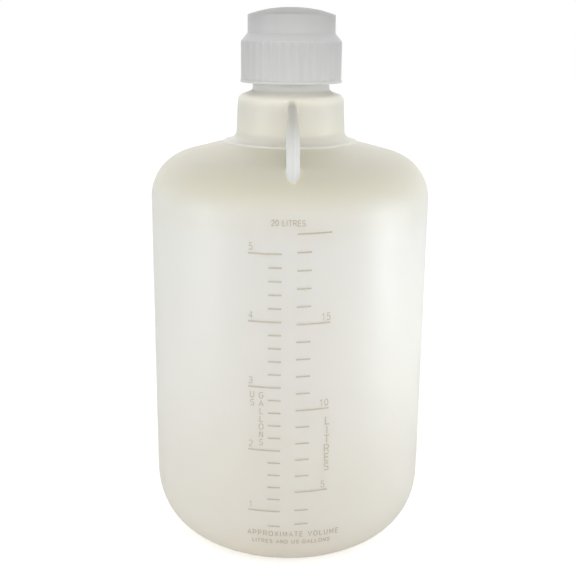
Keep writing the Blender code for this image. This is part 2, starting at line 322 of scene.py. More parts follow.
def inner_outline():
    """Inside of the bottle, from under the neck's rim down to the middle of the base."""
    cone = shoulder(WALL, COLLAR_RADIUS + 0.0090, 20)[::-1]
    ledge_z = cone[0][1]
    neck = [
        (NECK_BORE, NECK_FOOT_Z + 0.0060),
        (NECK_BORE, NECK_FOOT_Z - 0.0042),
        (COLLAR_TOP_RADIUS - WALL - 0.0035, COLLAR_TOP_Z + 0.0022),
        (COLLAR_TOP_RADIUS - WALL, COLLAR_TOP_Z - 0.0040),
        (COLLAR_RADIUS - WALL, ledge_z + 0.0120),
        (COLLAR_RADIUS + 0.0005, ledge_z + 0.0040),
        cone[0],
    ]
    outline = rounded(neck, 0.0040, 6)[:-1] + cone
    outline += straight((TOP_RADIUS - WALL, SHOULDER_Z), (BASE_RADIUS - WALL, CORNER), 8)
    inner_reach = (BASE_RADIUS - WALL - RING_OUTER, CORNER - BASE_WALL)
    outline += corner((RING_OUTER, CORNER), inner_reach, 0.0, -90.0, 24, CORNER_POWER)
    outline += push_up(BASE_WALL, 10)[::-1]
    return outline


def dome_height(radius):
    """Height of the cap's domed top above the crown's edge."""
    return (CAP_TOP_Z - CROWN_TOP_Z) * (1.0 - (radius / CROWN_RADIUS) ** DOME_POWER)


# ---------------------------------------------------------------- mesh helpers

def new_mesh_object(name, mesh_builder, material):
    """An object with its faces turned outwards; mesh_builder(bm) fills its mesh."""
    mesh = bpy.data.meshes.new(name)
    bm = bmesh.new()
    mesh_builder(bm)
    bmesh.ops.recalc_face_normals(bm, faces=bm.faces[:])
    bm.to_mesh(mesh)
    bm.free()
    mesh.materials.append(material)
    obj = bpy.data.objects.new(name, mesh)
    bpy.context.scene.collection.objects.link(obj)
    return obj


def fuse(obj, others):
    """Join other solids into obj, as one skin with nothing left inside."""
    for other in others:
        modifier = obj.modifiers.new(other.name, "BOOLEAN")
        modifier.operation = "UNION"
        modifier.solver = "EXACT"
        modifier.object = other
    evaluated = obj.evaluated_get(bpy.context.evaluated_depsgraph_get())
    obj.data = bpy.data.meshes.new_from_object(evaluated)
    obj.modifiers.clear()
    for other in others:
        bpy.data.objects.remove(other)


def finish_piece(obj, body, slot, *stands_for):
    """Smooth shading, and the body and CAD nodes that the piece belongs to; the material slot is
    not used.
    """
    obj.data.shade_smooth()
    obj.data.set_sharp_from_angle(angle=math.radians(50.0))
    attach(obj, body)
    if stands_for:
        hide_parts(*stands_for)


def ring(bm, points):
    """One closed row of vertices round the axis; points are (angle, radius, height)."""
    row = []
    for angle, radius, height in points:
        row.append(bm.verts.new((radius * math.cos(angle), radius * math.sin(angle), height)))
    return row


def even_angles(count):
    """Angles of count columns evenly round the axis."""
    return [2.0 * math.pi * column / count for column in range(count)]


def join_rows(bm, lower, upper):
    """Faces between two closed rows of equal length, or between a row and a single point."""
    if len(lower) == 1:
        lower, upper = upper, lower
    count = len(lower)
    for column in range(count):
        after = (column + 1) % count
        if len(upper) == 1:
            bm.faces.new((lower[column], lower[after], upper[0]))
        else:
            bm.faces.new((lower[column], lower[after], upper[after], upper[column]))


def join_all(bm, rows):
    """Faces between each row and the next."""
    for lower, upper in zip(rows, rows[1:]):
        join_rows(bm, lower, upper)


def swept(sections):
    """A builder for the solid through a list of closed sections, with flat ends."""
    def build(bm):
        rows = [[bm.verts.new(point) for point in section] for section in sections]
        join_all(bm, rows)
        bm.faces.new(rows[0])
        bm.faces.new(rows[-1])
    return build


def thread_sections(root, crest, start_z, turns):
    """Sections of a helical ridge that stands on radius root and reaches radius crest."""
    outward = math.copysign(1.0, crest - root)
    foot = root - outward * THREAD_SINK
    low_top = root - outward * THREAD_SINK / 2.0
    count = round(turns * THREAD_STEPS)
    sections = []
    for step in range(count + 1):
        turn = turns * step / count
        angle = 2.0 * math.pi * turn
        height = start_z + LEAD * turn
        run_out = min(1.0, step / THREAD_RUN_OUT, (count - step) / THREAD_RUN_OUT)
        top = low_top + (crest - low_top) * math.sin(run_out * math.pi / 2.0)
        profile = rounded(
            [
                (foot, -THREAD_ROOT_WIDTH / 2.0),
                (top, -THREAD_CREST_WIDTH / 2.0),
                (top, THREAD_CREST_WIDTH / 2.0),
                (foot, THREAD_ROOT_WIDTH / 2.0),
            ],
            0.0005,
            3,
        )
        section = []
        for radius, offset in profile:
            section.append((radius * math.cos(angle), radius * math.sin(angle), height + offset))
        sections.append(section)
    return sections


# ---------------------------------------------------------------- materials

def new_material(name):
    """A material with one Principled shader; returns it, its node tree and the shader."""
    material = bpy.data.materials.new(name)
    material.use_nodes = True
    tree = material.node_tree
    return material, tree, tree.nodes["Principled BSDF"]


def object_noise(tree, scale, detail=2.0, roughness=0.5):
    """A noise value that sits still on the object."""
    coordinates = tree.nodes.new("ShaderNodeTexCoord")
    noise = tree.nodes.new("ShaderNodeTexNoise")
    noise.inputs["Scale"].default_value = scale
    noise.inputs["Detail"].default_value = detail
    noise.inputs["Roughness"].default_value = roughness
    tree.links.new(coordinates.outputs["Object"], noise.inputs["Vector"])
    return noise.outputs["Fac"]


def remap(tree, value, low, high, to_low, to_high):
    """value scaled from low..high to to_low..to_high, and clamped."""
    node = tree.nodes.new("ShaderNodeMapRange")
    node.inputs["From Min"].default_value = low
    node.inputs["From Max"].default_value = high
    node.inputs["To Min"].default_value = to_low
    node.inputs["To Max"].default_value = to_high
    tree.links.new(value, node.inputs["Value"])
    return node.outputs["Result"]


def ramp(tree, value, stops):
    """A smooth colour ramp through (position, colour) stops."""
    node = tree.nodes.new("ShaderNodeValToRGB")
    node.color_ramp.interpolation = "EASE"
    elements = node.color_ramp.elements
    while len(elements) < len(stops):
        elements.new(0.5)
    for element, (position, colour) in zip(elements, stops):
        element.position = position
        element.color = (*colour, 1.0)
    tree.links.new(value, node.inputs["Fac"])
    return node.outputs["Color"]


def mix_colour(tree, share, first, second):
    """A mix of two colours; each argument is a constant or a socket."""
    node = tree.nodes.new("ShaderNodeMix")
    node.data_type = "RGBA"
    for socket, value in ((0, share), (6, first), (7, second)):
        if isinstance(value, tuple):
            node.inputs[socket].default_value = (*value, 1.0)
        else:
            tree.links.new(value, node.inputs[socket])
    return node.outputs[2]


def bump(tree, shader, height, strength, distance):
    """A fine surface grain on the shader's normal."""
    node = tree.nodes.new("ShaderNodeBump")
    node.inputs["Strength"].default_value = strength
    node.inputs["Distance"].default_value = distance
    tree.links.new(height, node.inputs["Height"])
    tree.links.new(node.outputs["Normal"], shader.inputs["Normal"])


def position(tree, space="Object"):
    """X, Y and Z of the shaded point: on the object in metres, or of the world's direction."""
    coordinates = tree.nodes.new("ShaderNodeTexCoord")
    parts = tree.nodes.new("ShaderNodeSeparateXYZ")
    tree.links.new(coordinates.outputs[space], parts.inputs["Vector"])
    return parts.outputs


def arithmetic(tree, operation, *values):
    """A Math node; each value is a number or a socket."""
    node = tree.nodes.new("ShaderNodeMath")
    node.operation = operation
    for socket, value in zip(node.inputs, values):
        if isinstance(value, float):
            socket.default_value = value
        else:
            tree.links.new(value, socket)
    return node.outputs[0]


def strap_mask(tree):
    """0 on the body and 1 on the straps, which alone stand clear of the shoulder and the collar."""
    place = position(tree)
    reach = arithmetic(tree, "ABSOLUTE", place["Y"])
    slope = math.tan(math.radians(SHOULDER_SLOPE))
    cone_line = arithmetic(tree, "MULTIPLY_ADD", reach, slope, place["Z"])
    above_cone = arithmetic(tree, "SUBTRACT", cone_line, STRAP_CONE_Z)
    across = arithmetic(tree, "SUBTRACT", reach, TOP_RADIUS - SHOULDER_ROUND)
    up = arithmetic(tree, "SUBTRACT", place["Z"], SHOULDER_Z)
    across_squared = arithmetic(tree, "POWER", across, 2.0)
    up_squared = arithmetic(tree, "POWER", up, 2.0)
    from_centre = arithmetic(tree, "SQRT", arithmetic(tree, "ADD", across_squared, up_squared))
    above_round = arithmetic(tree, "SUBTRACT", from_centre, SHOULDER_ROUND)
    past_cone = remap(tree, reach, *STRAP_CONE_ENDS, 0.0, 1.0)
    on_cone = arithmetic(tree, "SUBTRACT", 1.0, past_cone)
    cone_gap = arithmetic(tree, "MULTIPLY", above_cone, on_cone)
    round_gap = arithmetic(tree, "MULTIPLY", above_round, past_cone)
    gap = arithmetic(tree, "ADD", cone_gap, round_gap)
    clear_of_shoulder = remap(tree, gap, *STRAP_STAND_OFF, 0.0, 1.0)
    collar_ends = [COLLAR_RADIUS + distance for distance in STRAP_COLLAR_GAP]
    clear_of_collar = remap(tree, reach, *collar_ends, 0.0, 1.0)
    above_barrel = remap(tree, place["Z"], *STRAP_FOOT_Z, 0.0, 1.0)
    clear = arithmetic(tree, "MULTIPLY", clear_of_shoulder, clear_of_collar)
    return arithmetic(tree, "MULTIPLY", clear, above_barrel), reach


def polyethylene_material():
    """Natural polyethylene: cream where the wall is thin, warmer where more plastic gathers, with
    painted light and shade by height.
    """
    material, tree, shader = new_material("natural_polyethylene")
    height = remap(tree, position(tree)["Z"], 0.0, RIM_Z, 0.0, 1.0)
    # Height ramp, partly the plastic's own tint, warmer where it is thicker, and partly painted
    # light and shade: painted shade on the base and the shoulder band, a painted highlight on the
    # ledge ring, and painted light on the collar's top and the neck under the cap.
    tint_and_painted_light = ramp(
        tree,
        height,
        [
            (0.000, (0.850, 0.763, 0.61)),
            (0.160, (0.892, 0.810, 0.68)),
            (0.480, (0.918, 0.856, 0.748)),
            (0.650, (0.925, 0.872, 0.768)),
            (0.700, (0.907, 0.847, 0.718)),
            (0.760, (0.857, 0.782, 0.590)),
            (0.808, (0.908, 0.836, 0.635)),
            (0.817, (0.945, 0.898, 0.770)),
            (0.829, (0.885, 0.833, 0.670)),
            (0.884, (0.815, 0.772, 0.645)),
            (0.902, (0.965, 0.900, 0.735)),
            (0.922, (0.995, 0.975, 0.910)),
        ],
    )
    clouds = remap(tree, object_noise(tree, 7.0, 3.0), 0.35, 0.65, 0.0, 0.20)
    # Random clouds mixed over the ramp's tint with its painted light and shade.
    wall = mix_colour(tree, clouds, tint_and_painted_light, (0.89, 0.860, 0.77))
    strap_share, reach = strap_mask(tree)
    along = remap(tree, reach, *STRAP_SHADE_REACH, 0.0, 1.0)
    strap = mix_colour(tree, along, (0.57, 0.56, 0.51), (0.75, 0.75, 0.74))
    tree.links.new(mix_colour(tree, strap_share, wall, strap), shader.inputs["Base Color"])
    gloss = remap(tree, object_noise(tree, 60.0), 0.3, 0.7, 0.38, 0.48)
    tree.links.new(gloss, shader.inputs["Roughness"])
    shader.inputs["Subsurface Weight"].default_value = 0.7
    shader.inputs["Subsurface Radius"].default_value = (1.0, 0.98, 0.95)
    shader.inputs["Subsurface Scale"].default_value = 0.012
    shader.inputs["IOR"].default_value = 1.5
    bump(tree, shader, object_noise(tree, 900.0, 3.0, 0.6), 0.12, 0.0002)
    return material


def polypropylene_material():
    """The cap's pale grey-white moulded polypropylene, with painted light and shade by height."""
    material, tree, shader = new_material("cap_polypropylene")
    clouds = object_noise(tree, 22.0, 3.0)
    height = remap(tree, position(tree)["Z"], CAP_BOTTOM_Z, CAP_TOP_Z, 0.0, 1.0)
    # Height ramp of painted light and shade on the grey plastic: a painted highlight at the top of
    # the skirt and on the chamfer, and painted shade darkening the crown and the domed top.
    tint_and_painted_light = ramp(
        tree,
        height,
        [
            (0.00, (0.63, 0.63, 0.615)),
            (0.52, (0.59, 0.59, 0.585)),
            (0.58, (0.68, 0.68, 0.675)),
            (0.68, (0.60, 0.60, 0.59)),
            (0.86, (0.55, 0.55, 0.54)),
            (0.92, (0.49, 0.488, 0.475)),
        ],
    )
    colour = mix_colour(tree, remap(tree, clouds, 0.3, 0.7, 0.0, 0.2), tint_and_painted_light, (0.66, 0.66, 0.65))
    tree.links.new(colour, shader.inputs["Base Color"])
    gloss = remap(tree, object_noise(tree, 150.0), 0.3, 0.7, 0.44, 0.54)
    tree.links.new(gloss, shader.inputs["Roughness"])
    shader.inputs["Subsurface Weight"].default_value = 0.5
    shader.inputs["Subsurface Radius"].default_value = (1.0, 0.97, 0.9)
    shader.inputs["Subsurface Scale"].default_value = 0.004
    bump(tree, shader, object_noise(tree, 1400.0, 3.0, 0.6), 0.10, 0.0001)
    return material


def ink_material():
    """Thin tan-grey print, a little uneven as screen print on a matt wall is."""
    material, tree, shader = new_material("scale_ink")
    wear = remap(tree, object_noise(tree, 260.0, 4.0, 0.7), 0.35, 0.75, 0.0, 0.6)
    colour = mix_colour(tree, wear, (0.55, 0.475, 0.36), (0.70, 0.63, 0.51))
    tree.links.new(colour, shader.inputs["Base Color"])
    gloss = remap(tree, object_noise(tree, 400.0), 0.3, 0.7, 0.45, 0.65)
    tree.links.new(gloss, shader.inputs["Roughness"])
    return material


def seal_material():
    """Soft white foamed seal."""
    material, tree, shader = new_material("seal_foam")
    pores = object_noise(tree, 1600.0, 4.0, 0.7)
    shade = remap(tree, pores, 0.4, 0.6, 0.0, 1.0)
    colour = mix_colour(tree, shade, (0.78, 0.78, 0.75), (0.88, 0.88, 0.86))
    tree.links.new(colour, shader.inputs["Base Color"])
    tree.links.new(remap(tree, pores, 0.3, 0.7, 0.65, 0.85), shader.inputs["Roughness"])
    bump(tree, shader, pores, 0.5, 0.0002)
    return material


# ---------------------------------------------------------------- bottle

def make_body(material):
    """The hollow body: one skin over its outside and its inside, joined round the rim."""
    def build(bm):
        rows = []
        for radius, height in outer_outline() + inner_outline():
            if radius < 1e-6:
                rows.append([bm.verts.new((0.0, 0.0, height))])
            else:
                rows.append(ring(bm, [(angle, radius, height) for angle in even_angles(COLUMNS)]))
        join_all(bm, rows)

    return new_mesh_object("bottle_body", build, material)


def handle_point(share):
    """Point and unit direction of the handle's curve, in the (radius, height) plane."""
    p0, p1, p2, p3 = [Vector(point) for point in HANDLE_CURVE]
    rest = 1.0 - share
    point = p0 * rest ** 3 + p1 * 3.0 * rest ** 2 * share
    point = point + p2 * 3.0 * rest * share ** 2 + p3 * share ** 3
    along = (p1 - p0) * rest ** 2 + (p2 - p1) * 2.0 * rest * share + (p3 - p2) * share ** 2
    return point, along.normalized()


def handle_width(share):
    """Width of the strap: narrow at the collar, widest at the knee, a little less at the foot."""
    for (start, low), (end, high) in zip(HANDLE_WIDTHS, HANDLE_WIDTHS[1:]):
        if share <= end:
            blend = (share - start) / (end - start)
            return low + (high - low) * blend * blend * (3.0 - 2.0 * blend)
    return HANDLE_WIDTHS[-1][1]


def strap_outline(half_width, half_depth, relief):
    """Section of the strap: rounded, with a seam and two grooves down each face as relief grows."""
    seam_height = 0.00045
    groove_depth = 0.00075
    groove_place = half_width * 0.28
    spread = 0.0008
    face_start = 0.55               # the two faces lie past this share of the half depth
    points = []
    unit = corner((0.0, 0.0), (1.0, 1.0), 0.0, 360.0, HANDLE_SIDES, HANDLE_SQUARENESS)
    for across, out in unit[:-1]:
        x = half_width * across
        seam = seam_height * math.exp(-(x / spread) ** 2)
        groove = groove_depth * math.exp(-((abs(x) - groove_place) / spread) ** 2)
        lift = math.copysign(relief * (seam - groove), out) if abs(out) > face_start else 0.0
        points.append((x, half_depth * out + lift))
    return points


def handle_sections(side):
    """Strap sections from the collar to the shoulder; side is -1 at the front, +1 at the back."""
    sections = []
    for step in range(HANDLE_SECTIONS + 1):
        share = step / HANDLE_SECTIONS
        point, along = handle_point(share)
        relief = ease((share - RELIEF_START) / RELIEF_LENGTH)
        section = []
        for across, out in strap_outline(handle_width(share) / 2.0, HANDLE_DEPTH / 2.0, relief):
            radius = point.x - along.y * out
            section.append(Vector((across, side * radius, point.y + along.x * out)))
        sections.append(section)
    return sections


def root_fillet(surface, section, direction):
    """Rings that carry a strap's section down to the body's surface in a smooth fillet."""
    middle = sum(section, Vector()) / len(section)
    rings = [[] for _ in range(FILLET_STEPS + 1)]
    for index, point in enumerate(section):
        outer_share = math.sin(2.0 * math.pi * index / len(section))
        reach = ROOT_FILLET * (1.0 - ROOT_FILLET_LEAN * outer_share)
        hit, normal, _, _ = surface.ray_cast(point - direction * ROOT_SIGHT, direction)
        outward = point - middle
        outward = (outward - normal * outward.dot(normal)).normalized()
        start = hit - direction * reach
        landing, landing_normal, _, _ = surface.find_nearest(hit + outward * reach)
        end = landing - landing_normal * ROOT_SINK
        for step in range(FILLET_STEPS + 1):
            rings[step].append(quadratic(start, hit, end, step / FILLET_STEPS))
    return rings


def make_handle(name, side, surface, material):
    """One strap whose roots spread into the collar at its top and the shoulder at its foot."""
    sections = handle_sections(side)

    def clear_of_wall(section):
        for point in section:
            near, normal, _, distance = surface.find_nearest(point)
            if (point - near).dot(normal) < 0.0 or distance < ROOT_FILLET:
                return False
        return True

    free = [index for index, section in enumerate(sections) if clear_of_wall(section)]
    first, last = free[0], free[-1]
    middles = [sum(section, Vector()) / len(section) for section in sections]
    inward = (middles[first - 2] - middles[first]).normalized()
    downward = (middles[last + 2] - middles[last]).normalized()
    top_rings = root_fillet(surface, sections[first], inward)
    foot_rings = root_fillet(surface, sections[last], downward)
    core_top = [point + inward * ROOT_CORE for point in top_rings[-1]]
    core_foot = [point + downward * ROOT_CORE for point in foot_rings[-1]]
    rows = [core_top] + top_rings[::-1] + sections[first:last + 1] + foot_rings + [core_foot]
    return new_mesh_object(name, swept(rows), material)


def make_pinch_line(material):
    """The welded seam that the closing mould leaves across the middle of the base."""
    sections = []
    for step in range(PINCH_LINE_STEPS + 1):
        y = PINCH_LINE_HALF_LENGTH * (2.0 * step / PINCH_LINE_STEPS - 1.0)
        fade = math.sqrt(max(0.0, 1.0 - (y / PINCH_LINE_HALF_LENGTH) ** 4))
        middle_z = PUSH_UP * (1.0 - (y / RING_INNER) ** 2) + PINCH_LINE_LIFT
        half_width = PINCH_LINE_HALF_WIDTH * (0.3 + 0.7 * fade)
        half_height = PINCH_LINE_HEIGHT * (0.4 + 0.6 * fade)
        section = []
        for across, out in corner((0.0, 0.0), (1.0, 1.0), 0.0, 360.0, 12)[:-1]:
            section.append((half_width * across, y, middle_z + half_height * out))
        sections.append(section)
    return new_mesh_object("base_pinch_line", swept(sections), material)


def make_bottle(material):
    """Body, thread, straps and pinch line are one moulding, so they are fused into one skin."""
    body = make_body(material)
    bm = bmesh.new()
    bm.from_mesh(body.data)
    surface = BVHTree.FromBMesh(bm)
    bm.free()
    thread = thread_sections(NECK_RADIUS, NECK_THREAD_CREST, NECK_THREAD_START_Z, NECK_THREAD_TURNS)
    extras = [
        new_mesh_object("neck_thread", swept(thread), material),
        make_handle("front_handle", -1.0, surface, material),
        make_handle("back_handle", 1.0, surface, material),
        make_pinch_line(material),
    ]
    fuse(body, extras)
    finish_piece(body, "bottle", "natural_polyethylene", "bottle")


# ---------------------------------------------------------------- printed scales

def outer_radius(height):
    """Radius of the barrel's outside at a height, from the base corner up to the shoulder."""
    if height >= CORNER:
        share = (height - CORNER) / (SHOULDER_Z - CORNER)
        return BASE_RADIUS + (TOP_RADIUS - BASE_RADIUS) * share
    drop = ((CORNER - height) / CORNER) ** CORNER_POWER
    return RING_OUTER + (BASE_RADIUS - RING_OUTER) * (1.0 - drop) ** (1.0 / CORNER_POWER)


def on_wall(arc, height, lift):
    """Point on the barrel, arc metres round from the print's middle, lift metres off the wall."""
    radius = outer_radius(height)
    angle = arc / BASE_RADIUS + math.radians(PRINT_TURN)
    return ((radius + lift) * math.sin(angle), -(radius + lift) * math.cos(angle), height)


def printed_stroke(bm, points, width):
    """A thin printed line through (arc, height) points, with mitred corners and square ends."""
    path = [Vector(point) for point in points]
    rows = []
    for index, point in enumerate(path):
        before = path[max(index - 1, 0)]
        after = path[min(index + 1, len(path) - 1)]
        into = (point - before).normalized() if index else (after - point).normalized()
        out = (after - point).normalized() if index < len(path) - 1 else into
        bisector = (into + out).normalized() if (into + out).length > 1e-6 else into
        side = Vector((-bisector.y, bisector.x))
        stretch = min(1.6, 1.0 / max(0.2, bisector.dot(out)))
        half = side * width / 2.0 * stretch
        section = []
        for edge, lift in ((-1.0, 0.0), (1.0, 0.0), (1.0, 1.0), (-1.0, 1.0)):
            place = point + half * edge
            off_wall = INK_LIFT + lift * INK_THICKNESS
            section.append(bm.verts.new(on_wall(place.x, place.y, off_wall)))
        rows.append(section)
    join_all(bm, rows)
    bm.faces.new(rows[0])
    bm.faces.new(rows[-1])


def printed_line(bm, start, end, height, rise=0.0, pivot=0.0):
    """A scale line round the wall, from arc start to arc end; rise is its slope about the pivot."""
    steps = max(2, round((end - start) / 0.002))
    arcs = [start + (end - start) * step / steps for step in range(steps + 1)]
    printed_stroke(bm, [(arc, height + rise * (arc - pivot)) for arc in arcs], LINE_WIDTH)


def bend(centre, reach, start, end):
    """Points of an oval arc of a letter, from start to end degrees."""
    return corner(centre, reach, start, end, 14, 2.3)


# Each letter is (width, strokes), one unit high, drawn in even lines as plain block capitals.
LETTERS = {
    "0": (0.56, [bend((0.28, 0.5), (0.25, 0.5), 90, 450)]),
    "1": (0.56, [[(0.10, 0.77), (0.24, 0.82), (0.33, 1.0), (0.33, 0.0)]]),
    "2": (0.56, [bend((0.28, 0.72), (0.24, 0.28), 170, -35) + [(0.03, 0.0), (0.54, 0.0)]]),
    "3": (0.56, [
        bend((0.27, 0.75), (0.21, 0.25), 160, -75) + [(0.18, 0.52)],
        bend((0.27, 0.26), (0.25, 0.26), 80, -165),
    ]),
    "4": (0.56, [[(0.42, 0.0), (0.42, 1.0), (0.02, 0.29), (0.56, 0.29)]]),
    "5": (0.56, [
        [(0.50, 1.0), (0.14, 1.0), (0.08, 0.52)] + bend((0.27, 0.32), (0.25, 0.32), 130, -155),
    ]),
    "A": (0.66, [[(0.0, 0.0), (0.33, 1.0), (0.66, 0.0)], [(0.12, 0.34), (0.54, 0.34)]]),
    "D": (0.66, [
        [(0.28, 1.0), (0.06, 1.0), (0.06, 0.0), (0.28, 0.0)]
        + bend((0.28, 0.5), (0.34, 0.5), -90, 90),
    ]),
    "E": (0.58, [
        [(0.56, 1.0), (0.06, 1.0), (0.06, 0.0), (0.58, 0.0)],
        [(0.06, 0.53), (0.52, 0.53)],
    ]),
    "G": (0.74, [bend((0.37, 0.5), (0.34, 0.5), 42, 325) + [(0.70, 0.46), (0.42, 0.46)]]),
    "I": (0.14, [[(0.07, 0.0), (0.07, 1.0)]]),
    "L": (0.54, [[(0.06, 1.0), (0.06, 0.0), (0.54, 0.0)]]),
    "M": (0.78, [
        [(0.06, 0.0), (0.06, 1.0)],
        [(0.08, 1.0), (0.39, 0.12), (0.70, 1.0)],
        [(0.72, 1.0), (0.72, 0.0)],
    ]),
    "N": (0.66, [
        [(0.06, 0.0), (0.06, 1.0)],
        [(0.08, 1.0), (0.58, 0.0)],
        [(0.60, 0.0), (0.60, 1.0)],
    ]),
    "O": (0.76, [bend((0.38, 0.5), (0.35, 0.5), 90, 450)]),
    "P": (0.62, [
        [(0.06, 0.0), (0.06, 1.0)] + bend((0.34, 0.73), (0.24, 0.27), 90, -90) + [(0.06, 0.46)],
    ]),
    "R": (0.66, [
        [(0.06, 0.0), (0.06, 1.0)] + bend((0.36, 0.74), (0.24, 0.26), 90, -90) + [(0.06, 0.48)],
        [(0.38, 0.48), (0.62, 0.0)],
    ]),
    "S": (0.62, [
        bend((0.31, 0.74), (0.24, 0.26), 25, 250) + bend((0.31, 0.26), (0.26, 0.26), 70, -160),
    ]),
    "T": (0.60, [[(0.0, 1.0), (0.60, 1.0)], [(0.30, 1.0), (0.30, 0.0)]]),
    "U": (0.68, [[(0.06, 1.0)] + bend((0.34, 0.32), (0.28, 0.32), 180, 360) + [(0.62, 1.0)]]),
    "V": (0.64, [[(0.0, 1.0), (0.32, 0.0), (0.64, 1.0)]]),
    "X": (0.64, [[(0.02, 0.0), (0.62, 1.0)], [(0.02, 1.0), (0.62, 0.0)]]),
    " ": (0.30, []),
}


def text_width(text, cap_height, gap):
    """Width of a line of letters from its first edge to its last."""
    return sum(LETTERS[letter][0] + gap for letter in text) * cap_height - gap * cap_height


def print_text(bm, text, cap_height, arc, height, width=LETTER_WIDTH, gap=LETTER_GAP):
    """Letters printed on the wall, centred on arc, with their foot at height."""
    start = arc - text_width(text, cap_height, gap) / 2.0
    for letter in text:
        advance, strokes = LETTERS[letter]
        for stroke in strokes:
            points = [(start + x * cap_height, height + y * cap_height) for x, y in stroke]
            printed_stroke(bm, points, width)
        start += (advance + gap) * cap_height


def print_stacked(bm, text, cap_height, pitch, arc, top, width=LETTER_WIDTH):
    """Upright letters one under another, the first one's top at height top."""
    for index, letter in enumerate(text):
        print_text(bm, letter, cap_height, arc, top - cap_height - index * pitch, width)


def litre_z(litres):
    """Height of a litre line; the lowest ones sit lower, over the rounded base corner."""
    return FIVE_LITRE_Z + (litres - 5.0) * LITRE_HEIGHT - LOW_LINE_DROP.get(litres, 0.0)


def gallon_z(gallons):
    """Height of a gallon line, which also sits lower at the bottom of the scale."""
    drop = GALLON_SCALE_DROP + LOW_GALLON_DROP.get(gallons, 0.0)
    return FIVE_LITRE_Z + (gallons * LITRES_IN_GALLON - 5.0) * LITRE_HEIGHT - drop


def litre_lines(bm):
    """A line for each litre from 3 to 20, long at every fifth."""
    for litres in range(3, 21):
        end = LITRE_LONG_END if litres % 5 == 0 else LITRE_SHORT_END
        height = litre_z(litres)
        printed_line(bm, LITRE_LINE_START, end, height, LITRE_LINE_RISE, LITRE_LINE_PIVOT)


def gallon_lines(bm):
    """A line for each fifth of a gallon from 0.8 to 5, long at every whole gallon."""
    for fifth in range(4, 26):
        start = GALLON_LONG_START if fifth % 5 == 0 else GALLON_SHORT_START
        printed_line(bm, start, GALLON_LINE_END, gallon_z(fifth / 5.0))


def litre_words(bm):
    """The litre scale's numbers, its upright word and the bottle's size above it."""
    for litres, arc in LITRE_NUMBERS:
        foot = litre_z(litres) + LITRE_NUMBER_RISE
        print_text(bm, str(litres), LITRE_NUMBER_HEIGHT, arc, foot)
    print_stacked(bm, *LITRE_STACK)
    print_text(bm, *TOP_WORDS)


def gallon_words(bm):
    """The gallon scale's numbers and its upright words."""
    for gallons in range(1, 6):
        foot = gallon_z(gallons) + GALLON_NUMBER_RISE
        print_text(bm, str(gallons), GALLON_NUMBER_HEIGHT, GALLON_NUMBER_ARC, foot)
    for stack in GALLON_STACKS:
        print_stacked(bm, *stack)


def base_words(bm):
    """The two lines of words under the scales."""
    for line in BASE_LINES:
        print_text(bm, *line)


def make_scales(material):
    """The litre scale on the right, the US gallon scale on the left, and their words."""
    prints = (
        ("litre_scale_lines", litre_lines),
        ("gallon_scale_lines", gallon_lines),
        ("litre_scale_text", litre_words),
        ("gallon_scale_text", gallon_words),
        ("volume_note_text", base_words),
    )
    for name, draw in prints:
        finish_piece(new_mesh_object(name, draw, material), "bottle", "natural_polyethylene")


# ---------------------------------------------------------------- cap and seal

def cap_outline():
    """(radius, height, rib share) from the roof's middle inside, down, out and up to the dome."""
    roof_z = CROWN_TOP_Z - CAP_ROOF
    inside = [(r, roof_z + dome_height(r)) for r in (0.0, 0.006, 0.012, 0.018, 0.024, 0.030)]
    roof_edge = [
        (0.0320, roof_z + dome_height(0.0320)),
        (CROWN_BORE, roof_z + dome_height(CROWN_BORE)),
        (CROWN_BORE, roof_z - 0.0050),
    ]
    inside += rounded(roof_edge, 0.0030)
    step = [
        (CROWN_BORE, CAP_STEP_Z + 0.0030),
        (CROWN_BORE, CAP_STEP_Z),
        (SKIRT_BORE, CAP_STEP_Z),
        (SKIRT_BORE, CAP_STEP_Z - 0.0030),
    ]
    inside += rounded(step, 0.0004)
    inside += straight((SKIRT_BORE, CAP_STEP_Z - 0.0030), (SKIRT_BORE, CAP_BOTTOM_Z + 0.0020), 8)
    bead_top = CAP_BOTTOM_Z + BEAD_HEIGHT
    bead = [
        (SKIRT_BORE, CAP_BOTTOM_Z + 0.0020),
        (SKIRT_BORE + 0.0010, CAP_BOTTOM_Z),
        (BEAD_RADIUS, CAP_BOTTOM_Z),
        (BEAD_RADIUS, bead_top),
        (RIB_CREST, bead_top + 0.0003),
    ]
    rows = [(radius, height, 0.0) for radius, height in inside + rounded(bead, 0.0006)]
    skirt_bottom = bead_top + 0.0008
    skirt_top = SKIRT_TOP_Z - 0.0010
    for level in range(13):
        rows.append((RIB_CREST, skirt_bottom + (skirt_top - skirt_bottom) * level / 12.0, 1.0))
    for drop, rib in ((0.0006, 0.75), (0.0003, 0.4), (0.0, 0.1)):
        rows.append((CHAMFER_RADIUS + 0.0004 * rib, SKIRT_TOP_Z - drop, rib))
    chamfer = [
        (CHAMFER_RADIUS - 0.0002, SKIRT_TOP_Z + 0.0003),
        (CROWN_RADIUS + 0.0001, CHAMFER_TOP_Z),
        (CROWN_RADIUS, CHAMFER_TOP_Z + 0.0060),
    ]
    crown = rounded(chamfer, 0.0012, 6)
    edge = [
        (CROWN_RADIUS, CROWN_TOP_Z - 0.0060),
        (CROWN_RADIUS, CROWN_TOP_Z),
        (CROWN_RADIUS - 0.0040, CROWN_TOP_Z + dome_height(CROWN_RADIUS - 0.0040)),
    ]
    crown += rounded(edge, 0.0005, 5)
    dome_start = CROWN_RADIUS - 0.0045
    dome = [dome_start * (1.0 - level / 18.0) for level in range(19)]
    crown += [(radius, CROWN_TOP_Z + dome_height(radius)) for radius in dome]
    return rows + [(radius, height, 0.0) for radius, height in crown]


def rib_groove(column):
    """0 on a rib's crest and 1 in the flat between two ribs."""
    away = abs((column % RIB_COLUMNS) / RIB_COLUMNS - 0.5) * 2.0
    return ease((away - RIB_CREST_SHARE) / RIB_FLANK_SHARE)


